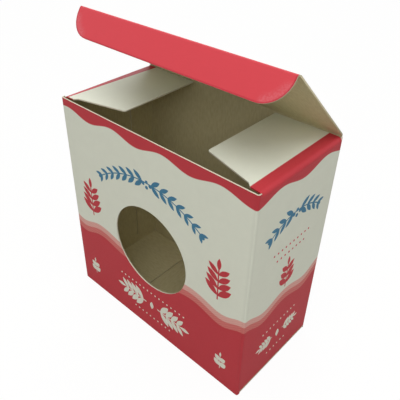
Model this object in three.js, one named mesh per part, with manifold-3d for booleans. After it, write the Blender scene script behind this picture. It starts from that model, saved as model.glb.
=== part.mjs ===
// A small straight tuck end carton of folding boxboard, with a round window in its front panel.
// The carton is cut and creased from one sheet. Four walls are wrapped round and glued at a lap,
// and each end is closed by two dust flaps under a lid with a tuck flap. The top stands open.
//
// Millimetres. +Z is up, the front panel faces -Y, and the origin is the centre of the base.

import * as THREE from 'three';
import { mergeVertices } from 'three/addons/utils/BufferGeometryUtils.js';
import Module from 'manifold-3d';

const wasm = await Module();
wasm.setup();

// Carton
const width = 90;
const depth = 45;
const height = 92;
const board = 0.5; // caliper of the sheet
const creaseInside = 0.3; // inside radius of the four upright creases
const clearance = 0.3; // air between two leaves of board that pass each other

// Window in the front panel
const windowDiameter = 37;
const windowCentreHeight = 43.6;

// Dust flaps, one on each side panel, top and bottom
const dustReach = 25; // from the crease line
const dustFrontSetback = 2.2; // from the front of the box to the flap's front edge, at the crease
const dustShoulder = 3.9; // nearly straight stretch beside the crease
const dustShoulderDraw = 0.5; // how far the shoulder draws back along its length
const dustLockNotch = 1.4; // step behind the shoulder, where the lid's slit catches
const dustTaper = 15; // degrees
const dustCornerRadius = 1.5;

// Lids and their tuck flaps
const lidOpenAngle = 43; // degrees from shut, as the top lid stands
const lidSideClearance = 0.6;
const tuckReach = 10.2;
const tuckCornerRadius = 7.5;
const slitLength = 8; // cut in from each end of the tuck crease

// Glue lap, folded off the back panel and stuck inside the left panel
const lapWidth = 12;
const lapEndSetback = 2.5; // from the ends of the wall to the lap's ends
const lapEndTaper = 3; // how much shorter the lap is at its free edge

// Smoothness of round stretches
const creaseSteps = 8;
const windowSteps = 96;

// Levels and lines that follow from the sizes above
const halfBoard = board / 2;
const hingeGap = halfBoard + clearance; // from a crease line to the panel that carries the flap
const lidLevel = height - halfBoard; // middle of the shut lid
const dustLevel = lidLevel - board - clearance; // middle of a shut dust flap
const wallTop = lidLevel - hingeGap;
const sideTop = dustLevel - hingeGap;
const backLine = depth / 2 - halfBoard; // crease lines of the lids, in Y
const sideLine = width / 2 - halfBoard; // crease lines of the bottom dust flaps, in X
// The top dust flaps turn in just inside the wall, so that they can be pushed down beside it
const topDustLine = width / 2 - board - clearance;
const lidReach = backLine + depth / 2 - board - clearance - halfBoard; // crease to crease
const lidHalfWidth = width / 2 - lidSideClearance;
// Degrees from flat at which the tuck flap's tip is as far from the lid's hinge as its crease is,
// so that the flap slides down inside the front panel without scraping
const tuckFold = 90 + THREE.MathUtils.radToDeg(Math.asin(tuckReach / (2 * lidReach)));
const dustFront = -depth / 2 + dustFrontSetback;
const dustBack = depth / 2 - board - clearance;

// A closed three.js geometry as a solid that can be joined and cut
function solid(geometry) {
  const bare = geometry.index ? geometry.toNonIndexed() : geometry.clone();
  bare.deleteAttribute('normal');
  bare.deleteAttribute('uv');
  const merged = mergeVertices(bare, 1e-5);
  return new wasm.Manifold(new wasm.Mesh({
    numProp: 3,
    vertProperties: new Float32Array(merged.attributes.position.array),
    triVerts: new Uint32Array(merged.index.array),
  }));
}

// A named piece of board made from a solid
function piece(name, shape, color) {
  const { numProp, vertProperties, triVerts } = shape.getMesh();
  const geometry = new THREE.BufferGeometry();
  geometry.setAttribute('position', new THREE.BufferAttribute(vertProperties, numProp));
  geometry.setIndex(new THREE.BufferAttribute(triVerts, 1));
  geometry.computeVertexNormals();
  const material = new THREE.MeshStandardMaterial({ color, roughness: 0.5, metalness: 0 });
  const mesh = new THREE.Mesh(geometry, material);
  mesh.name = name;
  return mesh;
}

function box(x0, x1, y0, y1, z0, z1) {
  return new THREE.BoxGeometry(x1 - x0, y1 - y0, z1 - z0)
    .translate((x0 + x1) / 2, (y0 + y1) / 2, (z0 + z1) / 2);
}

// An outline drawn on the XY plane, given a thickness that is centred on that plane
function slab(outline, thickness) {
  return new THREE.ExtrudeGeometry(outline, {
    depth: thickness, bevelEnabled: false, curveSegments: creaseSteps,
  }).translate(0, 0, -thickness / 2);
}

// A leaf of board lies on the XY plane, with its crease on the X axis, and reaches along -Y.
// Its edge along the crease is rounded about the crease line, so that it can turn there.
function leaf(outline, span, reach) {
  const section = new THREE.Shape();
  section.moveTo(0, -halfBoard);
  section.lineTo(reach, -halfBoard);
  section.lineTo(reach, halfBoard);
  section.lineTo(0, halfBoard);
  section.absarc(0, 0, halfBoard, Math.PI / 2, Math.PI * 1.5, false);
  const toLeaf = new THREE.Matrix4().makeBasis(
    new THREE.Vector3(0, -1, 0), new THREE.Vector3(0, 0, 1), new THREE.Vector3(-1, 0, 0),
  );
  const strip = slab(section, span).applyMatrix4(toLeaf);
  return solid(strip).intersect(solid(slab(outline, board * 4)));
}

// Dust flap, with its front edge towards +X when front is 1 and towards -X when front is -1
function dustLeaf(front) {
  const x = (y) => -front * y; // a place along the box's Y becomes a place along the crease
  const taperRun = dustReach - dustShoulder - dustLockNotch;
  const shoulderEnd = dustFront + dustShoulderDraw;
  const notchEnd = shoulderEnd + dustLockNotch;
  const tipFront = notchEnd + taperRun * Math.tan(THREE.MathUtils.degToRad(dustTaper));
  const r = dustCornerRadius;
  const outline = new THREE.Shape();
  outline.moveTo(x(dustBack), board);
  outline.lineTo(x(dustBack), -dustReach + r);
  outline.quadraticCurveTo(x(dustBack), -dustReach, x(dustBack - r), -dustReach);
  outline.lineTo(x(tipFront + r), -dustReach);
  outline.quadraticCurveTo(x(tipFront), -dustReach, x(tipFront), -dustReach + r);
  outline.lineTo(x(notchEnd), -dustShoulder - dustLockNotch);
  outline.lineTo(x(shoulderEnd), -dustShoulder);
  outline.lineTo(x(dustFront), board);
  outline.closePath();
  return leaf(outline, depth, dustReach);
}

// Lid panel. Its ends reach the tuck crease, where it is slit. Between the slits it stops short of
// a tuck flap that turns, or runs up to the crease where the tuck flap is fixed.
function lidLeaf(tuckTurns) {
  const inner = lidHalfWidth - slitLength;
  const creaseEdge = tuckTurns ? lidReach - hingeGap : lidReach;
  const outline = new THREE.Shape();
  outline.moveTo(-lidHalfWidth, board);
  outline.lineTo(-lidHalfWidth, -lidReach);
  outline.lineTo(-inner, -lidReach);
  outline.lineTo(-inner, -creaseEdge);
  outline.lineTo(inner, -creaseEdge);
  outline.lineTo(inner, -lidReach);
  outline.lineTo(lidHalfWidth, -lidReach);
  outline.lineTo(lidHalfWidth, board);
  outline.closePath();
  return leaf(outline, width, lidReach);
}

// Tuck flap. Only the stretch between the slits reaches the crease, and the far corners are round.
function tuckLeaf() {
  const inner = lidHalfWidth - slitLength - clearance;
  const r = tuckCornerRadius;
  const outline = new THREE.Shape();
  outline.moveTo(inner, board);
  outline.lineTo(-inner, board);
  outline.lineTo(-inner, -hingeGap);
  outline.lineTo(-lidHalfWidth, -hingeGap);
  outline.lineTo(-lidHalfWidth, -tuckReach + r);
  outline.absarc(-lidHalfWidth + r, -tuckReach + r, r, Math.PI, Math.PI * 1.5, false);
  outline.lineTo(lidHalfWidth - r, -tuckReach);
  outline.absarc(lidHalfWidth - r, -tuckReach + r, r, Math.PI * 1.5, Math.PI * 2, false);
  outline.lineTo(lidHalfWidth, -hingeGap);
  outline.lineTo(inner, -hingeGap);
  outline.closePath();
  return leaf(outline, width, tuckReach);
}

function roundedRectangle(Outline, halfX, halfY, r) {
  const outline = new Outline();
  outline.moveTo(halfX, halfY - r);
  outline.absarc(halfX - r, halfY - r, r, 0, Math.PI / 2, false);
  outline.absarc(-halfX + r, halfY - r, r, Math.PI / 2, Math.PI, false);
  outline.absarc(-halfX + r, -halfY + r, r, Math.PI, Math.PI * 1.5, false);
  outline.absarc(halfX - r, -halfY + r, r, Math.PI * 1.5, Math.PI * 2, false);
  outline.closePath();
  return outline;
}

// The four walls in one band, with rounded upright creases
function wallBand() {
  const outer = roundedRectangle(THREE.Shape, width / 2, depth / 2, creaseInside + board);
  outer.holes.push(roundedRectangle(THREE.Path, width / 2 - board, depth / 2 - board, creaseInside));
  return solid(slab(outer, wallTop).translate(0, 0, wallTop / 2));
}

// The glue lap lies flat on the inside of the left panel, and its free edge is the shorter one
function glueLap() {
  const low = lapEndSetback + board;
  const high = wallTop - lapEndSetback;
  const freeEdge = depth / 2 - board - lapWidth;
  const outline = new THREE.Shape();
  outline.moveTo(-low, backLine);
  outline.lineTo(-low - lapEndTaper, freeEdge);
  outline.lineTo(-high + lapEndTaper, freeEdge);
  outline.lineTo(-high, backLine);
  outline.closePath();
  // it reaches into the wall by half a board, so that the two become one solid
  return solid(slab(outline, board * 1.5).rotateY(Math.PI / 2)
    .translate(-width / 2 + board * 1.25, 0, 0));
}

// Walls, glue lap and the two bottom dust flaps, which stay folded in under the bottom lid
function cartonBody() {
  const bottomDustLevel = board * 1.5 + clearance;
  const beyond = board * 2;
  let body = wallBand().add(glueLap());
  const hingeCut = box(-width, width, dustBack, depth, -beyond, halfBoard + hingeGap);
  body = body.subtract(solid(hingeCut));
  for (const side of [-1, 1]) {
    const wall = side < 0 ? [-width, board - sideLine] : [sideLine - board, width];
    const ends = [dustFront - clearance, dustBack + clearance];
    body = body.subtract(solid(box(...wall, ...ends, sideTop, height)));
    body = body.subtract(solid(box(...wall, ...ends, -beyond, bottomDustLevel)));
    const flap = dustLeaf(side).rotate([0, 0, -90 * side]);
    body = body.add(flap.translate([side * sideLine, 0, bottomDustLevel]));
  }
  const windowCut = new THREE.CylinderGeometry(
    windowDiameter / 2, windowDiameter / 2, board * 4, windowSteps,
  ).translate(0, -depth / 2 + halfBoard, windowCentreHeight);
  return body.subtract(solid(windowCut));
}

const white = 0xd9dbcf;
const red = 0xc23a46;

const carton = new THREE.Group();
carton.add(piece('carton_body', cartonBody(), white));

// Top lid on its crease along the back panel, with the tuck flap on the lid's front crease
const lidPivot = new THREE.Group();
lidPivot.position.set(0, backLine, lidLevel);
lidPivot.rotation.x = -THREE.MathUtils.degToRad(lidOpenAngle);
lidPivot.add(piece('lid', lidLeaf(true), red));
const tuckFlap = piece('tuck_flap', tuckLeaf(), red);
tuckFlap.position.y = -lidReach;
tuckFlap.rotation.x = THREE.MathUtils.degToRad(tuckFold);
lidPivot.add(tuckFlap);
carton.add(lidPivot);

// Top dust flaps, folded in level over the mouth
for (const [name, side] of [['dust_flap_left', -1], ['dust_flap_right', 1]]) {
  const flap = piece(name, dustLeaf(side), white);
  flap.position.set(side * topDustLine, 0, dustLevel);
  flap.rotation.z = -side * Math.PI / 2;
  carton.add(flap);
}

// Bottom lid, shut, with its tuck flap folded up inside the front panel in one leaf with it
const bottomTuck = tuckLeaf().rotate([-tuckFold, 0, 0]).translate([0, -lidReach, 0]);
const bottomLid = piece('bottom_lid', lidLeaf(false).add(bottomTuck), red);
bottomLid.position.set(0, backLine, halfBoard);
carton.add(bottomLid);

export default carton;
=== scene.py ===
import math

import bmesh
import bpy
from mathutils import Matrix, Vector


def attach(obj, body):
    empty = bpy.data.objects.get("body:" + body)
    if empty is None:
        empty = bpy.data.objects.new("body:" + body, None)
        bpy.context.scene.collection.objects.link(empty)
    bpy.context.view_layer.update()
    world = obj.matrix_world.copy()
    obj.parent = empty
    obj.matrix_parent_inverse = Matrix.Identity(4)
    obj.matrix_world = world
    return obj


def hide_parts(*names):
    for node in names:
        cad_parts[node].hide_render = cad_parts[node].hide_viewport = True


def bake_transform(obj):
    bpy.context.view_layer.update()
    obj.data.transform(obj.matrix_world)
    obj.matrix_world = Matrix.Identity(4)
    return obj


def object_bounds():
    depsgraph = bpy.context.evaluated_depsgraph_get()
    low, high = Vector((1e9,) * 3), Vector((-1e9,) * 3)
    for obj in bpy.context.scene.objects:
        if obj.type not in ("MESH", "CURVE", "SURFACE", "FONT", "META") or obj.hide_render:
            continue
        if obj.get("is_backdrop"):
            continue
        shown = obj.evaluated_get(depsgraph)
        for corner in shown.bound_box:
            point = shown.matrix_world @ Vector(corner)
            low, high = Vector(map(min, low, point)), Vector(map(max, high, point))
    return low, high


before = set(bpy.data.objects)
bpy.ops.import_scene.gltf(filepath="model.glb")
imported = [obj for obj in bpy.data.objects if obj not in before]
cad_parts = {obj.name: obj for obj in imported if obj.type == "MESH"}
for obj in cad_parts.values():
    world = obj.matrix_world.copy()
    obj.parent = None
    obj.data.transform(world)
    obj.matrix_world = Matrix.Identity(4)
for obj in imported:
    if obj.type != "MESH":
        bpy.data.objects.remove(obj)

cad_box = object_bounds()

# Walls: four panels of white coated folding boxboard with a grey-brown uncoated back. They are cut
# and creased flat, with a round window in the front one, then wrapped round and glued at a lap that
# is folded off the back panel and stuck inside the left one. Red waves are printed at top and foot.
MM = 0.001
WIDTH, DEPTH = 90, 45
BOARD = 0.5
CORNER = 0.8  # outer radius of a square crease
WALL_TOP = 91.2  # cut edge of the front panel, and where the lid's crease begins
LID_SEAM = 90.7
DUST_SEAM = 89.2
LID_FOOT_SEAM = 1.3
DUST_FOOT_SEAM = 2.1
WINDOW_RADIUS, WINDOW_HEIGHT = 18.5, 43.6
DUST_FRONT, DUST_BACK = -21, 21.7
LID_ROOT_LEFT, LID_ROOT_RIGHT = -43.9, 44.4  # ends of the lid's crease, in X
LAP_WIDTH, LAP_SETBACK, LAP_TAPER = 12, 3, 3
CREASE_STEPS = 8
WINDOW_SEGMENTS = 96
BLANK_UNIT = 100  # mm of the flat blank to one unit of its UV map
QUARTER = CORNER * math.pi / 2
FLAT_X, FLAT_Y = WIDTH / 2 - CORNER, DEPTH / 2 - CORNER  # where the flat of each panel ends
PANEL_TO_RIGHT = FLAT_X + QUARTER + FLAT_Y  # middle of the right panel on the flat blank
PANEL_TO_BACK = PANEL_TO_RIGHT + FLAT_Y + QUARTER + FLAT_X
PAPER_WHITE = "EAECDB"
PULP_DARK, PULP_PALE, CORE_CREAM = "C8BD93", "D2C8A0", "DDD6C1"
RED_INK = "C83C45"
PINK_DOT, PINK_GAP = "D46B66", "DE7F78"
PALE_DOT, PALE_GAP = "E3A197", "EAB4A8"
SCREEN_PITCH = 0.7  # mm between dots of the tints; real ones, at a quarter of it, are too fine to show
MOTTLE, FIBRE, WAVINESS = 5, 0.5, 22  # size in mm of cloudy tone, single fibres and slow swells
PULP_FIBRE = 0.7  # the back's coarser fibres, in mm
SWELL = 12  # height of the slow swells against the fibres'
GLOSS_CHANGE = 0.05  # in roughness, from fibre to fibre


def linear(hex_colour):
    """An sRGB hex colour as the linear colour that a shader takes."""
    parts = [int(hex_colour[i:i + 2], 16) / 255 for i in (0, 2, 4)]
    return (*(c / 12.92 if c <= 0.04045 else ((c + 0.055) / 1.055) ** 2.4 for c in parts), 1)


def add(tree, kind, inputs=None, **settings):
    """A node with its settings made and its sockets set or linked."""
    node = tree.nodes.new(kind)
    for setting, value in settings.items():
        setattr(node, setting, value)
    for socket, value in (inputs or {}).items():
        if isinstance(value, bpy.types.NodeSocket):
            tree.links.new(value, node.inputs[socket])
        else:
            node.inputs[socket].default_value = value
    return node


def crease(start, across, along, turn, radius=CORNER):
    """A score line: where its bend starts, which way the sheet goes on, the axis, degrees and radius."""
    pitch = 2 * radius * math.sin(math.radians(turn) / 2 / CREASE_STEPS)
    return {"start": Vector(start), "across": Vector(across), "along": Vector(along), "turn": turn,
            "pitch": pitch}


def split(sheet, point, normal):
    """Cuts the sheet's faces along a plane, and keeps both sides."""
    everything = sheet.verts[:] + sheet.edges[:] + sheet.faces[:]
    bmesh.ops.bisect_plane(sheet, geom=everything, dist=1e-5, plane_co=point, plane_no=normal)


def fold_up(sheet, creases, place_on_blank):
    """Scores a flat sheet, keeps its flat layout as a UV map, and folds the farthest crease first."""
    for line in creases:
        for step in range(CREASE_STEPS + 1):
            split(sheet, line["start"] + line["across"] * line["pitch"] * step, line["across"])
    blank = sheet.loops.layers.uv.new("blank")
    for face in sheet.faces:
        for loop in face.loops:
            u, v = place_on_blank(loop.vert.co)
            loop[blank].uv = (u / BLANK_UNIT, v / BLANK_UNIT)
    flat = {vert: vert.co.copy() for vert in sheet.verts}
    for line in creases:
        for step in reversed(range(CREASE_STEPS + 1)):
            share = 0.5 if step in (0, CREASE_STEPS) else 1
            turn = math.radians(line["turn"]) * share / CREASE_STEPS
            reach = line["pitch"] * step
            beyond = [v for v, co in flat.items() if (co - line["start"]).dot(line["across"]) > reach + 1e-4]
            bmesh.ops.rotate(sheet, verts=beyond, cent=line["start"] + line["across"] * reach,
                             matrix=Matrix.Rotation(turn, 3, line["along"]))


def outline(sheet, corners, place, rounded=()):
    """A flat leaf from its corner points. Each of rounded is a corner's number and how far it is cut back."""
    verts = [sheet.verts.new(place(a, b)) for a, b in corners]
    sheet.faces.new(verts)
    for number, cut in rounded:
        bmesh.ops.bevel(sheet, geom=[verts[number]], offset=cut, offset_type="OFFSET", segments=10,
                        profile=0.5, affect="VERTICES", material=-1)


def make_board(sheet, name, outward, faces):
    """Turns a folded sheet into board of its real thickness, with print, back and cut edge."""
    bmesh.ops.recalc_face_normals(sheet, faces=sheet.faces)
    sheet.faces.ensure_lookup_table()
    sheet.normal_update()
    facing = [face.normal.dot(outward(face.calc_center_median())) * face.calc_area() for face in sheet.faces]
    if sum(facing) < 0:
        bmesh.ops.reverse_faces(sheet, faces=sheet.faces)
    bmesh.ops.scale(sheet, vec=(MM, MM, MM), verts=sheet.verts)
    for face in sheet.faces:
        face.smooth = True
    for edge in sheet.edges:
        edge.smooth = not edge.is_boundary
    mesh = bpy.data.meshes.new(name)
    sheet.to_mesh(mesh)
    sheet.free()
    for material in faces:
        mesh.materials.append(material)
    piece = bpy.data.objects.new(name, mesh)
    bpy.context.scene.collection.objects.link(piece)
    board = piece.modifiers.new("board", "SOLIDIFY")
    board.thickness = BOARD * MM
    board.offset = -1
    board.use_even_offset = True
    board.material_offset = 1
    board.material_offset_rim = 2
    return piece


def board_face(name, paint, roughness, gloss, grain, relief):
    """Board surface on its blank layout: colour from paint, mottled by grain, with fibre relief in mm."""
    material = bpy.data.materials.new(name)
    material.use_nodes = True
    tree = material.node_tree
    shader = tree.nodes["Principled BSDF"]
    shader.inputs["Specular IOR Level"].default_value = gloss
    layout = add(tree, "ShaderNodeUVMap", uv_map="blank")
    flat = add(tree, "ShaderNodeVectorMath", {0: layout.outputs["UV"], 1: (BLANK_UNIT,) * 3},
               operation="MULTIPLY").outputs[0]
    mottle = add(tree, "ShaderNodeTexNoise", {"Vector": flat, "Scale": 1 / MOTTLE, "Detail": 8,
                                               "Roughness": 0.75})
    shade = add(tree, "ShaderNodeMapRange", {"Value": mottle.outputs["Fac"], "From Min": 0.3, "From Max": 0.7,
                                             "To Min": 1 - grain, "To Max": 1 + grain})
    colour = add(tree, "ShaderNodeVectorMath", {0: paint(tree, flat), 1: shade.outputs[0]},
                 operation="MULTIPLY")
    tree.links.new(colour.outputs[0], shader.inputs["Base Color"])
    fibre = add(tree, "ShaderNodeTexNoise", {"Vector": flat, "Scale": 1 / FIBRE, "Detail": 3})
    worn = add(tree, "ShaderNodeMapRange", {"Value": fibre.outputs["Fac"], "From Min": 0.3, "From Max": 0.7,
                                            "To Min": roughness - GLOSS_CHANGE,
                                            "To Max": roughness + GLOSS_CHANGE})
    tree.links.new(worn.outputs[0], shader.inputs["Roughness"])
    waviness = add(tree, "ShaderNodeTexNoise", {"Vector": flat, "Scale": 1 / WAVINESS, "Detail": 1})
    swell = add(tree, "ShaderNodeMath", {0: waviness.outputs["Fac"], 1: SWELL}, operation="MULTIPLY")
    height = add(tree, "ShaderNodeMath", {0: swell.outputs[0], 1: fibre.outputs["Fac"]}, operation="ADD")
    bump = add(tree, "ShaderNodeBump", {"Strength": 1, "Distance": relief * MM, "Height": height.outputs[0]})
    tree.links.new(bump.outputs[0], shader.inputs["Normal"])
    return material


def wave(tree, along, length, shift):
    """Cosine along the printed band, one crest every length, with a crest at shift."""
    turn = add(tree, "ShaderNodeMath", {0: along, 1: 2 * math.pi / length, 2: -2 * math.pi * shift / length},
               operation="MULTIPLY_ADD")
    return add(tree, "ShaderNodeMath", {0: turn.outputs[0]}, operation="COSINE").outputs[0]


def wave_print(tree, flat):
    """White with a red band down from the top crease, pale, pink and red waves at the foot, and painted shade
    along the upright creases.
    """
    crest = 2 * (WIDTH + DEPTH) / 11  # eleven waves go round the four panels
    soft = 0.12  # edge of the ink in mm
    bleed_end = 95.2  # where the band runs off the sheet, past the top creases
    place = add(tree, "ShaderNodeSeparateXYZ", {0: flat})
    along, height = place.outputs[0], place.outputs[1]
    swing = add(tree, "ShaderNodeMath", {0: wave(tree, along, WIDTH / 2, 0), 1: 0.5, 2: 1.4},
                operation="MULTIPLY_ADD").outputs[0]  # 1.9 mm at the corners and the front's middle, or less
    drawn = along  # the crests lie closer on the right panel, and are spread again over the others
    for start, end, at_start, at_end in ((36, 90, 0, 5.05), (90, 225, 0, -5.05), (-90, -45, 1.68, 0)):
        shift = add(tree, "ShaderNodeMapRange", {"Value": along, "From Min": start, "From Max": end,
                                                 "To Min": at_start, "To Max": at_end})
        drawn = add(tree, "ShaderNodeMath", {0: drawn, 1: shift.outputs[0]}, operation="ADD").outputs[0]
    ripple = add(tree, "ShaderNodeMath", {0: wave(tree, drawn, crest, 21.4), 1: swing},
                 operation="MULTIPLY").outputs[0]
    screen = add(tree, "ShaderNodeVectorRotate", {"Vector": flat, "Angle": math.radians(45)},
                 rotation_type="Z_AXIS")
    cells = add(tree, "ShaderNodeTexVoronoi", {"Vector": screen.outputs[0], "Scale": 1 / SCREEN_PITCH,
                                               "Randomness": 0})
    inside = add(tree, "ShaderNodeMapRange", {"Value": cells.outputs["Distance"], "From Min": 0.5,
                                              "From Max": 0.25})
    colour = add(tree, "ShaderNodeRGB").outputs[0]
    colour.default_value = linear(PAPER_WHITE)
    for gap, ink, level, swell in ((PALE_GAP, PALE_DOT, 38.2, 1), (PINK_GAP, PINK_DOT, 35.5, 1.05),
                                   (RED_INK, RED_INK, 32.6, 1.1)):
        edge = add(tree, "ShaderNodeMath", {0: ripple, 1: swell, 2: level}, operation="MULTIPLY_ADD")
        depth = add(tree, "ShaderNodeMath", {0: edge.outputs[0], 1: height}, operation="SUBTRACT")
        inked = add(tree, "ShaderNodeMapRange", {"Value": depth.outputs[0], "From Min": -soft,
                                                 "From Max": soft})
        tint = add(tree, "ShaderNodeMix", {0: inside.outputs[0], 6: linear(gap), 7: linear(ink)},
                   data_type="RGBA")
        colour = add(tree, "ShaderNodeMix", {0: inked.outputs[0], 6: colour, 7: tint.outputs[2]},
                     data_type="RGBA").outputs[2]
    band_foot = add(tree, "ShaderNodeMath", {0: wave(tree, along, crest, 7.3), 1: 1.2, 2: 87.1},
                    operation="MULTIPLY_ADD")
    above = add(tree, "ShaderNodeMath", {0: height, 1: band_foot.outputs[0]}, operation="SUBTRACT")
    begun = add(tree, "ShaderNodeMapRange", {"Value": above.outputs[0], "From Min": -soft, "From Max": soft})
    bleed_top = add(tree, "ShaderNodeMapRange", {"Value": along, "From Min": -89, "From Max": -47,
                                                 "To Min": bleed_end, "To Max": 92.6})
    right_half = add(tree, "ShaderNodeMath", {0: along, 1: 0}, operation="GREATER_THAN")
    bleed_top = add(tree, "ShaderNodeMix", {0: right_half.outputs[0], 2: bleed_top.outputs[0],
                                            3: bleed_end})
    short = add(tree, "ShaderNodeMath", {0: bleed_top.outputs[0], 1: height}, operation="SUBTRACT")
    bleed = add(tree, "ShaderNodeMapRange", {"Value": short.outputs[0], "From Min": -soft, "From Max": soft})
    band = add(tree, "ShaderNodeMath", {0: begun.outputs[0], 1: bleed.outputs[0]}, operation="MULTIPLY")
    colour = add(tree, "ShaderNodeMix", {0: band.outputs[0], 6: colour, 7: linear(RED_INK)},
                 data_type="RGBA").outputs[2]
    from_middle = add(tree, "ShaderNodeMath", {0: along}, operation="ABSOLUTE")
    away = WIDTH  # mm to the nearest upright crease, where painted shade darkens the print a little
    for middle in (FLAT_X + QUARTER / 2, PANEL_TO_RIGHT + FLAT_Y + QUARTER / 2):
        gap = add(tree, "ShaderNodeMath", {0: from_middle.outputs[0], 1: middle}, operation="SUBTRACT")
        gap = add(tree, "ShaderNodeMath", {0: gap.outputs[0]}, operation="ABSOLUTE")
        away = add(tree, "ShaderNodeMath", {0: gap.outputs[0], 1: away}, operation="MINIMUM").outputs[0]
    # Painted shade: the print is darkened by up to 7 % close to each upright crease, where shade falls in the
    # fold.
    crease_shade = add(tree, "ShaderNodeMapRange", {"Value": away, "From Min": 0.2, "From Max": 1.7, "To Min": 0.93,
                                             "To Max": 1}, interpolation_type="SMOOTHSTEP")
    return add(tree, "ShaderNodeVectorMath", {0: colour, 1: crease_shade.outputs[0]},
               operation="MULTIPLY").outputs[0]


def plain_paint(hex_colour):
    """A flat colour, as paint for a board face."""
    def paint(tree, flat):
        colour = add(tree, "ShaderNodeRGB").outputs[0]
        colour.default_value = linear(hex_colour)
        return colour
    return paint


def fibrous_back(tree, flat):
    """Recycled pulp: grey-brown, paler and darker by the fibres that lie along the sheet's grain."""
    grain = add(tree, "ShaderNodeVectorMath", {0: flat, 1: (1, 0.25, 1)}, operation="MULTIPLY")
    fibres = add(tree, "ShaderNodeTexNoise", {"Vector": grain.outputs[0], "Scale": 1 / PULP_FIBRE,
                                               "Detail": 5})
    tone = add(tree, "ShaderNodeMapRange", {"Value": fibres.outputs["Fac"], "From Min": 0.35,
                                            "From Max": 0.65})
    return add(tree, "ShaderNodeMix", {0: tone.outputs[0], 6: linear(PULP_DARK), 7: linear(PULP_PALE)},
               data_type="RGBA").outputs[2]


# Coated and varnished face: smooth, with a low broad sheen and barely any fibre.
wall_print = board_face("coated_board_wave_print", wave_print, 0.5, 0.25, 0.02, 0.006)
# Uncoated back of recycled pulp: matt, with visible fibres.
grey_back = board_face("uncoated_board_back", fibrous_back, 0.85, 0.08, 0.03, 0.012)
# Cut edge: the cream core between the white coat and the back.
cut_edge = board_face("cut_board_edge", plain_paint(CORE_CREAM), 0.9, 0.1, 0.05, 0.02)

walls = bmesh.new()
hole = bmesh.ops.create_circle(walls, segments=WINDOW_SEGMENTS, radius=WINDOW_RADIUS)["verts"]
bmesh.ops.translate(walls, vec=(0, WINDOW_HEIGHT, 0), verts=hole)
rim = bmesh.ops.create_circle(walls, segments=WINDOW_SEGMENTS, radius=1)["verts"]
for vert in rim:
    reach = max(abs(vert.co.x), abs(vert.co.y))
    vert.co = Vector((vert.co.x / reach * FLAT_X, (vert.co.y / reach + 1) * WALL_TOP / 2, 0))
bmesh.ops.bridge_loops(walls, edges=walls.edges[:])
spokes = [e for e in walls.edges if (e.verts[0] in hole) != (e.verts[1] in hole)]
bmesh.ops.subdivide_edges(walls, edges=spokes, cuts=5, use_grid_fill=True)
bmesh.ops.rotate(walls, verts=walls.verts, matrix=Matrix.Rotation(math.pi / 2, 3, "X"))
bmesh.ops.translate(walls, vec=(0, -DEPTH / 2, 0), verts=walls.verts)
BACK_LEFT_START = PANEL_TO_BACK + FLAT_X - BOARD  # the lap's crease is one board further in
RAW_EDGE = -PANEL_TO_RIGHT - FLAT_Y
for edge_place, reach in ((FLAT_X, BACK_LEFT_START + QUARTER), (-FLAT_X, RAW_EDGE)):
    side = [e for e in walls.edges if all(abs(v.co.x - edge_place) < 1e-3 for v in e.verts)]
    grown = bmesh.ops.extrude_edge_only(walls, edges=side)["geom"]
    bmesh.ops.translate(walls, vec=(reach - edge_place, 0, 0),
                        verts=[g for g in grown if isinstance(g, bmesh.types.BMVert)])
openings = []
for middle, half_low, half_high, foot, top in (
        (PANEL_TO_RIGHT, DUST_FRONT, DUST_BACK, DUST_FOOT_SEAM, DUST_SEAM),
        (-PANEL_TO_RIGHT, -DUST_BACK, -DUST_FRONT, DUST_FOOT_SEAM, DUST_SEAM),
        (PANEL_TO_BACK, -LID_ROOT_RIGHT, -LID_ROOT_LEFT, LID_FOOT_SEAM, LID_SEAM)):
    openings.append((middle + half_low, middle + half_high, foot, top))
    for place in (middle + half_low, middle + half_high):
        split(walls, (place, 0, 0), (1, 0, 0))
    for level in (foot, top):
        split(walls, (0, 0, level), (0, 0, 1))
gone = []
for face in walls.faces:
    middle = face.calc_center_median()
    if any(low < middle.x < high and not foot < middle.z < top for low, high, foot, top in openings):
        gone.append(face)
bmesh.ops.delete(walls, geom=gone, context="FACES")
lap_start = BACK_LEFT_START + QUARTER
lap_end, lap_top = lap_start + LAP_WIDTH, WALL_TOP - LAP_SETBACK
outline(walls, [(lap_start, LAP_SETBACK), (lap_end, LAP_SETBACK + LAP_TAPER), (lap_end, lap_top - LAP_TAPER),
                (lap_start, lap_top)],
        lambda u, v: (u, -DEPTH / 2, v))
fold_up(walls, [
    crease((BACK_LEFT_START, -DEPTH / 2, 0), (1, 0, 0), (0, 0, 1), 90),
    crease((PANEL_TO_RIGHT + FLAT_Y, -DEPTH / 2, 0), (1, 0, 0), (0, 0, 1), 90),
    crease((FLAT_X, -DEPTH / 2, 0), (1, 0, 0), (0, 0, 1), 90),
    crease((-FLAT_X, -DEPTH / 2, 0), (-1, 0, 0), (0, 0, -1), 90),
], lambda co: (co.x, co.z))
carton_walls = make_board(walls, "carton_walls", lambda co: Vector((co.x * 2 / WIDTH, co.y * 2 / DEPTH, 0)),
                          (wall_print, grey_back, cut_edge))
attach(carton_walls, "carton")
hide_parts("carton_body")

# Dust flaps: one leaf on each side panel at the top, folded in level over the mouth, and one at the
# foot, folded in first under the bottom lid. Each has a shoulder by its crease, a step behind it
# where the lid's slit locks, and a tapered front edge. The red band runs over the top creases.
DUST_REACH = 25.5  # from the crease line, which lies half a board inside the wall's face
DUST_SHOULDER, DUST_DRAW = 4.4, 0.5
DUST_STEP = 1.4
DUST_TAPER = math.tan(math.radians(15))
DUST_CORNER = 0.6
BEND_END = 0.55  # from a crease line to where the leaf is flat again
SOFT_CORNER = 1.5  # outer radius of the top creases, which are hardly pressed
DUST_CREASE, DUST_FOOT_CREASE = WALL_TOP - SOFT_CORNER, 1.6
INK_RUNS_OVER = 95.1  # height on the flat blank where red on the cut edge gives out


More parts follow.
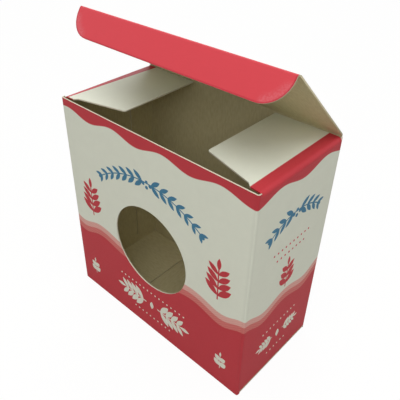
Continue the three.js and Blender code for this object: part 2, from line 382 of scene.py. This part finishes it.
def edge_with_ink(tree, flat):
    """Cream core, with red carried over it where the band runs off the sheet."""
    place = add(tree, "ShaderNodeSeparateXYZ", {0: flat})
    inked = add(tree, "ShaderNodeMapRange", {"Value": place.outputs[1], "From Min": INK_RUNS_OVER + 0.3,
                                             "From Max": INK_RUNS_OVER - 0.3})
    return add(tree, "ShaderNodeMix", {0: inked.outputs[0], 6: linear(CORE_CREAM), 7: linear(RED_INK)},
               data_type="RGBA").outputs[2]


inked_edge = board_face("cut_board_edge_with_ink", edge_with_ink, 0.8, 0.15, 0.03, 0.01)


def dust_flap(name, side, up):
    """A dust flap on the right side for 1 or the left for -1, going up from the wall or down from it."""
    seam = DUST_SEAM if up > 0 else DUST_FOOT_SEAM
    bend = DUST_CREASE if up > 0 else DUST_FOOT_CREASE
    radius = SOFT_CORNER if up > 0 else CORNER
    flat_from = radius - BOARD / 2  # reach at which the leaf is flat
    bend_length = radius * math.pi / 2

    def place(along, reach):
        return (side * WIDTH / 2, along, bend + up * (bend_length + reach - flat_from))

    root = abs(seam - bend) + bend_length - flat_from
    step_front = DUST_FRONT + DUST_DRAW + DUST_STEP
    step_reach = DUST_SHOULDER + DUST_STEP
    leaf = bmesh.new()
    outline(leaf, [(DUST_FRONT, -root), (DUST_BACK, -root), (DUST_BACK, DUST_REACH),
                   (step_front + (DUST_REACH - step_reach) * DUST_TAPER, DUST_REACH),
                   (step_front, step_reach), (DUST_FRONT + DUST_DRAW, DUST_SHOULDER)],
            place, rounded=((2, DUST_CORNER), (3, DUST_CORNER)))
    fold_up(leaf, [crease((side * WIDTH / 2, 0, bend), (0, 0, up), (0, -side * up, 0), 90, radius)],
            lambda co: (side * (PANEL_TO_RIGHT + co.y), co.z))
    edge = inked_edge if up > 0 else cut_edge
    return make_board(leaf, name, lambda co: Vector((side, 0, up)), (wall_print, grey_back, edge))


for name, side in (("left", -1), ("right", 1)):
    flap = dust_flap(f"dust_flap_{name}_leaf", side, 1)
    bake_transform(flap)
    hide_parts(f"dust_flap_{name}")
    foot_flap = dust_flap(f"bottom_dust_flap_{name}", side, -1)
    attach(foot_flap, "carton")

# Top lid: a red-printed leaf on the back panel's crease, standing open, with its grey-brown back
# turned down. Its front edge carries the tuck flap, and is slit in from both ends of that crease.
LID_OPEN = 43  # degrees from shut
LID_BEND_RADIUS = 1.515
LID_HALF_WIDTH = 44.8
TUCK_HALF_WIDTH = 44.4
LID_REACH = 43.7  # from the lid's crease line to the tuck flap's
LID_SLIT_EDGE = 43.2  # cut edge of the lid beyond the slits
SLIT = 8
TUCK_BEND_RADIUS = 0.739
TUCK_TURN = 96.702
TUCK_REACH = 10.2
TUCK_CORNER = 8.6
TUCK_SEAM = 42.6  # the sheet is parted here, where it stays flat at every pose
LID_RED, RUBBED_RED, RIM_DARK_RED = "DA4750", "DF7880", "BC333F"
PINHOLE_PITCH, PINHOLE_WIDTH = 11, 0.02  # mm between pinholes, and their radius as a share of it
RUB_SPECK = 0.6  # mm, the size at which rubbed ink breaks up
LID_EDGE_CORE = "C6BC9F"
lid_start = WALL_TOP + LID_BEND_RADIUS * math.radians(90 - LID_OPEN)
tuck_start = LID_REACH - BEND_END + TUCK_BEND_RADIUS * math.radians(TUCK_TURN)
TUCK_TIP = lid_start + tuck_start + TUCK_REACH - 2 * BEND_END  # far edge on the flat blank


def speckled_red(tree, flat):
    """Red ink with pinholes where dust lay on the plate, pale at the rubbed corners and dark at the rim."""
    cells = add(tree, "ShaderNodeTexVoronoi", {"Vector": flat, "Scale": 1 / PINHOLE_PITCH})
    hole = add(tree, "ShaderNodeMapRange", {"Value": cells.outputs["Distance"], "From Min": PINHOLE_WIDTH,
                                            "From Max": PINHOLE_WIDTH * 0.6})
    place = add(tree, "ShaderNodeSeparateXYZ", {0: flat})
    aside = add(tree, "ShaderNodeMath", {0: place.outputs[0], 1: PANEL_TO_BACK}, operation="SUBTRACT")
    aside = add(tree, "ShaderNodeMath", {0: aside.outputs[0]}, operation="ABSOLUTE")
    over = []  # how far past the round corner's centre, across and along
    for value, centre in ((aside.outputs[0], TUCK_HALF_WIDTH - TUCK_CORNER),
                          (place.outputs[1], TUCK_TIP - TUCK_CORNER)):
        past = add(tree, "ShaderNodeMath", {0: value, 1: centre}, operation="SUBTRACT")
        over.append(add(tree, "ShaderNodeMath", {0: past.outputs[0], 1: 0}, operation="MAXIMUM").outputs[0])
    both = add(tree, "ShaderNodeCombineXYZ", {0: over[0], 1: over[1]})
    reach = add(tree, "ShaderNodeVectorMath", {0: both.outputs[0]}, operation="LENGTH").outputs["Value"]
    at_corner = add(tree, "ShaderNodeMath", {0: over[0], 1: over[1]}, operation="MULTIPLY")
    at_corner = add(tree, "ShaderNodeMapRange", {"Value": at_corner.outputs[0], "From Min": 2,
                                                 "From Max": 14})
    near_rim = add(tree, "ShaderNodeMapRange", {"Value": reach, "From Min": TUCK_CORNER - 3.4,
                                                "From Max": TUCK_CORNER - 1.4})
    dust = add(tree, "ShaderNodeTexNoise", {"Vector": flat, "Scale": 1 / RUB_SPECK, "Detail": 3})
    bare = add(tree, "ShaderNodeMapRange", {"Value": dust.outputs["Fac"], "From Min": 0.4, "From Max": 0.65,
                                            "To Min": 0.15, "To Max": 0.6})
    rub = add(tree, "ShaderNodeMath", {0: at_corner.outputs[0], 1: near_rim.outputs[0]}, operation="MULTIPLY")
    rub = add(tree, "ShaderNodeMath", {0: rub.outputs[0], 1: bare.outputs[0]}, operation="MULTIPLY")
    colour = add(tree, "ShaderNodeMix", {0: rub.outputs[0], 6: linear(LID_RED), 7: linear(RUBBED_RED)},
                 data_type="RGBA").outputs[2]
    # A darker red band along the flap's rim, just inside the cut edge.
    rim_dark = add(tree, "ShaderNodeMapRange", {"Value": reach, "From Min": TUCK_CORNER - 0.6,
                                               "From Max": TUCK_CORNER - 0.25, "To Max": 0.8})
    colour = add(tree, "ShaderNodeMix", {0: rim_dark.outputs[0], 6: colour, 7: linear(RIM_DARK_RED)},
                 data_type="RGBA").outputs[2]
    return add(tree, "ShaderNodeMix", {0: hole.outputs[0], 6: colour, 7: linear(PAPER_WHITE)},
               data_type="RGBA").outputs[2]


lid_print = board_face("coated_board_red_print", speckled_red, 0.45, 0.25, 0.015, 0.006)
# The lid's cut edges are a darker, greyer cream than the walls'.
lid_edge = board_face("lid_board_edge", plain_paint(LID_EDGE_CORE), 0.9, 0.1, 0.05, 0.02)


def lid_creases(up, bend, start, turn, radius):
    """The tuck crease and the lid's crease on the back panel, whose bend ends at start on the blank."""
    tuck_bend = start + up * (LID_REACH - 2 * BEND_END)
    back = DEPTH / 2
    return [
        crease((0, back, tuck_bend), (0, 0, up), (up, 0, 0), TUCK_TURN, TUCK_BEND_RADIUS),
        crease((0, back, bend), (0, 0, up), (up, 0, 0), turn, radius),
    ]


top_creases = lid_creases(1, WALL_TOP, lid_start, 90 - LID_OPEN, LID_BEND_RADIUS)
slit_end = TUCK_HALF_WIDTH - SLIT


def lid_outline(sheet, place, root):
    """Lid panel from its seam on the back panel to the slits and the tuck flap's seam."""
    outline(sheet, [(LID_ROOT_LEFT, root), (LID_ROOT_RIGHT, root), (LID_HALF_WIDTH, 1),
                    (LID_HALF_WIDTH, LID_SLIT_EDGE), (slit_end, LID_SLIT_EDGE), (slit_end, TUCK_SEAM),
                    (-slit_end, TUCK_SEAM), (-slit_end, LID_SLIT_EDGE), (-LID_HALF_WIDTH, LID_SLIT_EDGE),
                    (-LID_HALF_WIDTH, 1)], place)


def on_top_lid(along, reach):
    return (along, DEPTH / 2, lid_start + reach - BEND_END)


root = LID_SEAM - lid_start + BEND_END
lid_leaf = bmesh.new()
lid_outline(lid_leaf, on_top_lid, root)
fold_up(lid_leaf, top_creases[1:], lambda co: (PANEL_TO_BACK - co.x, co.z))
top_lid = make_board(lid_leaf, "top_lid", lambda co: Vector((0, 1, 1)),
                     (lid_print, grey_back, lid_edge))
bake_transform(top_lid)
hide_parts("lid")

# Tuck flap: the red leaf that hangs from the lid's front crease, with big round corners. It is in
# one sheet with the lid between the slits, and has cut ends beyond them.
TUCK_CUT = 0.9  # the slit's far edge lies this far back in the bend
SEAM_GAP = 0.1  # by which the tuck flap's root is narrower than the lid's, at each slit's end


def tuck_outline(sheet, place):
    """Root strip between the slits, then the flap with its ends and round corners."""
    root_half = slit_end - SEAM_GAP
    tip = tuck_start + TUCK_REACH - BEND_END
    cut = tuck_start - TUCK_CUT
    outline(sheet, [(-root_half, TUCK_SEAM), (root_half, TUCK_SEAM), (root_half, cut),
                    (TUCK_HALF_WIDTH, cut), (TUCK_HALF_WIDTH, tip), (-TUCK_HALF_WIDTH, tip),
                    (-TUCK_HALF_WIDTH, cut), (-root_half, cut)],
            place, rounded=((4, TUCK_CORNER), (5, TUCK_CORNER)))


tuck_leaf = bmesh.new()
tuck_outline(tuck_leaf, on_top_lid)
fold_up(tuck_leaf, top_creases, lambda co: (PANEL_TO_BACK - co.x, co.z))
top_tuck = make_board(tuck_leaf, "top_tuck_flap", lambda co: Vector((0, -1, 1)),
                      (lid_print, grey_back, lid_edge))
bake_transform(top_tuck)
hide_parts("tuck_flap")

# Bottom lid: the same red leaf at the foot, shut, with its tuck flap folded up behind the front
# panel. The carton stands on it.
foot_start = CORNER - QUARTER
foot_creases = lid_creases(-1, CORNER, foot_start, 90, CORNER)


def on_bottom_lid(along, reach):
    return (along, DEPTH / 2, foot_start - reach + BEND_END)


root = foot_start - LID_FOOT_SEAM + BEND_END
foot_leaf = bmesh.new()
lid_outline(foot_leaf, on_bottom_lid, root)
tuck_outline(foot_leaf, on_bottom_lid)
fold_up(foot_leaf, foot_creases, lambda co: (PANEL_TO_BACK - co.x, co.z))
bottom_lid = make_board(foot_leaf, "bottom_lid_leaf", lambda co: Vector((0, 0, -1)),
                        (lid_print, grey_back, cut_edge))
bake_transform(bottom_lid)
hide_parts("bottom_lid")

# Printed ornaments: leaf garlands, sprigs and dotted rules in blue, red and white ink on the white
# and red fields. Each is a film of ink on the board, drawn a little thicker than real ink lies.
BLUE_INK = "4480A0"
INK_FILM = 0.08  # its foot is sunk in the board, and its top stands 0.03 proud
INK_SUNK = 0.05
INK_STEP, INK_LEVELS = 0.006, 7  # mm between films, so that none that overlap lie level
# Offset ink dries smooth, so its sheen is the coated board's. The gaps in red show the board's own coat.
blue_ink = board_face("blue_offset_ink", plain_paint(BLUE_INK), 0.5, 0.25, 0.03, 0.006)
red_ink = board_face("red_offset_ink", plain_paint(RED_INK), 0.5, 0.25, 0.02, 0.006)
white_gap = board_face("unprinted_white_in_red", plain_paint(PAPER_WHITE), 0.5, 0.25, 0.015, 0.006)
BLUE, RED, WHITE = 0, 1, 2


def settle(sheet, made, ink, at, turn=0, level=None):
    """Turns new faces, moves them to their place, and inks them. Films that overlap differ in level."""
    if level is None:
        level = 1 + len(sheet.faces) % INK_LEVELS
    bmesh.ops.rotate(sheet, verts=made, matrix=Matrix.Rotation(math.radians(turn), 3, "Z"))
    bmesh.ops.translate(sheet, verts=made, vec=(*at, level * INK_STEP))
    for face in {face for vert in made for face in vert.link_faces}:
        face.material_index = ink


def leaf_shape(sheet, ink, at, turn, length, width):
    """A pointed leaf whose stalk end is at its place."""
    made = bmesh.ops.create_circle(sheet, cap_ends=True, segments=16, radius=0.5)["verts"]
    for vert in made:
        vert.co = Vector(((vert.co.x + 0.5) * length, vert.co.y * abs(vert.co.y) * 2 * width, 0))
    settle(sheet, made, ink, at, turn)


def dot(sheet, ink, at, radius):
    """A round berry or point."""
    made = bmesh.ops.create_circle(sheet, cap_ends=True, segments=12, radius=radius)["verts"]
    settle(sheet, made, ink, at)


def stem(sheet, ink, at, turn, length, width):
    """A straight stalk or rule from its place along its turn."""
    made = bmesh.ops.create_grid(sheet, x_segments=1, y_segments=1, size=0.5)["verts"]
    for vert in made:
        vert.co = Vector(((vert.co.x + 0.5) * length, vert.co.y * width, 0))
    settle(sheet, made, ink, at, turn, 0)


def arched_garland(sheet, centre, radius, spread, pairs):
    """Blue stem in an arch, with leaves in pairs that point away from its middle, and end berries."""
    stalk = 0.44
    for side in (-1, 1):
        first = Vector((0, radius - stalk / 2, 0))
        edge = [sheet.verts.new(first), sheet.verts.new(first + Vector((0, stalk, 0)))]
        line = sheet.edges.new(edge)
        before = set(sheet.verts) - set(edge)
        bmesh.ops.spin(sheet, geom=[*edge, line], cent=(0, 0, 0), axis=(0, 0, -side), dvec=(0, 0, 0),
                       angle=math.radians(spread), steps=20)
        settle(sheet, [v for v in sheet.verts if v not in before], BLUE, centre, 0, 0)
        for number in range(pairs):
            swing = math.radians(spread) * (number + 0.55) / pairs * side
            foot = (centre[0] + radius * math.sin(swing), centre[1] + radius * math.cos(swing))
            onward = -math.degrees(swing) + (0 if side > 0 else 180)
            size = 5.2 - 1.8 * number / pairs
            for lean in (38, -38):
                leaf_shape(sheet, BLUE, foot, onward + lean, size, size * 0.36)
        end = math.radians(spread) * side
        dot(sheet, BLUE, (centre[0] + radius * math.sin(end), centre[1] + radius * math.cos(end)), 0.75)
    for x, y in ((0, 0), (-1.7, -1.1), (1.7, -1.1), (0, -2.2)):
        dot(sheet, BLUE, (centre[0] + x, centre[1] + radius + 0.4 + y), 0.7)


def sprig(sheet, ink, foot, turn, height, pairs):
    """A straight stalk with leaves in pairs that grow smaller to the tip, and a leaf on the end."""
    onward = Vector((math.cos(math.radians(turn)), math.sin(math.radians(turn))))
    stem(sheet, ink, foot, turn, height * 0.8, height * 0.03)
    for number in range(pairs):
        share = (number + 0.6) / (pairs + 0.6)
        at = Vector(foot) + onward * height * 0.8 * share
        size = height * (0.42 - 0.13 * share)
        for lean in (50, -50):
            leaf_shape(sheet, ink, at, turn + lean, size, size * 1.5 / pairs)
    leaf_shape(sheet, ink, Vector(foot) + onward * height * 0.74, turn, height * 0.28, height * 0.1)


DOT_PITCH = 2.2


def dotted_rule(sheet, ink, middle, count, radius):
    """A row of round dots, as a printer's rule."""
    for number in range(count):
        dot(sheet, ink, (middle[0] + (number - (count - 1) / 2) * DOT_PITCH, middle[1]), radius)


def foot_ornament(sheet, middle, reach):
    """White diamond between two lying sprigs, with a dotted rule above and below."""
    x, y = middle
    leaf_shape(sheet, WHITE, (x, y - 2), 90, 4, 2)
    for turn, away in ((0, 1), (180, -1)):
        sprig(sheet, WHITE, (x + 3.2 * away, y), turn, reach, 4)
    for rise, count in ((7, int(reach)), (-7, int(reach * 0.6))):
        dotted_rule(sheet, WHITE, (x, y + rise), count, 0.36)


def print_on(name, sheet, heading, face_out, blank_middle):
    """Puts ornaments drawn on XY on a panel: heading is the panel's turn, face_out how far it stands off."""
    bmesh.ops.recalc_face_normals(sheet, faces=sheet.faces)
    for face in sheet.faces:
        if face.normal.z < 0:
            face.normal_flip()
    blank = sheet.loops.layers.uv.new("blank")
    for face in sheet.faces:
        for loop in face.loops:
            u, v = loop.vert.co.x + blank_middle, loop.vert.co.y
            loop[blank].uv = (u / BLANK_UNIT, v / BLANK_UNIT)
    to_panel = (Matrix.Rotation(math.radians(heading), 4, "Z")
                @ Matrix.Translation((0, INK_SUNK - face_out, 0)) @ Matrix.Rotation(math.pi / 2, 4, "X"))
    bmesh.ops.transform(sheet, matrix=Matrix.Scale(MM, 4) @ to_panel, verts=sheet.verts)
    mesh = bpy.data.meshes.new(name)
    sheet.to_mesh(mesh)
    sheet.free()
    for ink in (blue_ink, red_ink, white_gap):
        mesh.materials.append(ink)
    piece = bpy.data.objects.new(name, mesh)
    bpy.context.scene.collection.objects.link(piece)
    film = piece.modifiers.new("ink_film", "SOLIDIFY")
    film.thickness = INK_FILM * MM
    film.offset = 1
    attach(piece, "carton")


front_print = bmesh.new()
arched_garland(front_print, (0, 32), radius=42, spread=38, pairs=7)
for side in (-1, 1):
    sprig(front_print, RED, (side * 33, 42.5), turn=90, height=18, pairs=4)
    sprig(front_print, WHITE, (side * 36, 8), turn=90, height=9, pairs=2)
foot_ornament(front_print, (0, 14), reach=17)
print_on("front_ornaments", front_print, 0, DEPTH / 2, 0)
back_print = bmesh.new()
arched_garland(back_print, (0, 32), radius=42, spread=38, pairs=7)
sprig(back_print, RED, (0, 46), turn=90, height=20, pairs=4)
for side in (-1, 1):
    sprig(back_print, WHITE, (side * 36, 8), turn=90, height=9, pairs=2)
foot_ornament(back_print, (0, 14), reach=17)
print_on("back_ornaments", back_print, 180, DEPTH / 2, PANEL_TO_BACK)
for name, heading, middle in (("right", 90, PANEL_TO_RIGHT), ("left", -90, -PANEL_TO_RIGHT)):
    side_print = bmesh.new()
    arched_garland(side_print, (0, 50), radius=24, spread=36, pairs=4)
    for rule_height, count in ((61, 10), (57.5, 8)):
        dotted_rule(side_print, RED, (0, rule_height), count, 0.4)
    sprig(side_print, RED, (0, 40.5), turn=90, height=14, pairs=3)
    foot_ornament(side_print, (0, 16), reach=10)
    print_on(f"{name}_ornaments", side_print, heading, WIDTH / 2, middle)

# Camera: a photo from above the front right corner, as the carton was seen on a table.
camera = bpy.data.objects.new("camera", bpy.data.cameras.new("camera"))
bpy.context.scene.collection.objects.link(camera)
bpy.context.scene.camera = camera
azimuth, elevation = math.radians(43.912), math.radians(34.792)
back = Vector((math.sin(azimuth) * math.cos(elevation), -math.cos(azimuth) * math.cos(elevation),
               math.sin(elevation)))
camera.location = Vector((105.383, -116.213, 170.680)) * MM
camera.rotation_euler = back.to_track_quat("Z", "Y").to_euler()
camera.data.sensor_width = 36
camera.data.lens = 45.555
camera.data.shift_x = 0.053
camera.data.shift_y = -0.0356
camera.data.clip_start = 0.005

# Studio: a pale floor that keeps the carton's shadow, three soft round lamps above, in front and
# behind, and an even white surround. Floor and surround show white to the camera, and light less.
floor_mesh = bmesh.new()
bmesh.ops.create_grid(floor_mesh, x_segments=2, y_segments=2, size=4)
mesh = bpy.data.meshes.new("floor")
floor_mesh.to_mesh(mesh)
floor_mesh.free()
floor = bpy.data.objects.new("floor", mesh)
bpy.context.scene.collection.objects.link(floor)
floor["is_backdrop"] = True
table = bpy.data.materials.new("white_table")
table.use_nodes = True
tree = table.node_tree
tree.nodes.remove(tree.nodes["Principled BSDF"])
matt = add(tree, "ShaderNodeBsdfDiffuse", {"Color": linear("B6B6B2")})
glow = add(tree, "ShaderNodeEmission", {"Color": (1, 1, 1, 1), "Strength": 1.09})
path = add(tree, "ShaderNodeLightPath")
seen = add(tree, "ShaderNodeMath", {0: path.outputs["Is Camera Ray"], 1: 0.86}, operation="MULTIPLY")
both = add(tree, "ShaderNodeMixShader", {0: seen.outputs[0], 1: matt.outputs[0], 2: glow.outputs[0]})
tree.links.new(both.outputs[0], tree.nodes["Material Output"].inputs["Surface"])
mesh.materials.append(table)

for name, direction, away, size, power in (("overhead_lamp", (0.2, -0.16, 0.96), 0.9, 0.8, 4.1),
                                           ("front_lamp", (0.42, -0.66, 0.62), 1.0, 0.7, 2.4),
                                           ("rear_lamp", (-0.6, 0.62, 0.5), 1.1, 0.8, 2.4)):
    lamp = bpy.data.objects.new(name, bpy.data.lights.new(name, "AREA"))
    bpy.context.scene.collection.objects.link(lamp)
    lamp.data.shape = "DISK"
    lamp.data.size = size
    lamp.data.energy = power
    direction = Vector(direction).normalized()
    lamp.location = Vector((0, 0, 0.06)) + direction * away
    lamp.rotation_euler = direction.to_track_quat("Z", "Y").to_euler()

world = bpy.data.worlds.new("studio")
bpy.context.scene.world = world
world.use_nodes = True
tree = world.node_tree
path = add(tree, "ShaderNodeLightPath")
seen = add(tree, "ShaderNodeMath", {0: path.outputs["Is Camera Ray"], 1: path.outputs["Is Glossy Ray"]},
           operation="MAXIMUM")
strength = add(tree, "ShaderNodeMapRange", {"Value": seen.outputs[0], "To Min": 0.36, "To Max": 1})
backdrop = tree.nodes["Background"]
tree.links.new(strength.outputs[0], backdrop.inputs["Strength"])
backdrop.inputs["Color"].default_value = (1, 1, 1, 1)
bpy.context.scene.view_settings.view_transform = "Standard"

size = {"cad": [list(corner) for corner in cad_box], "visual": [list(corner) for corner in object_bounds()]}
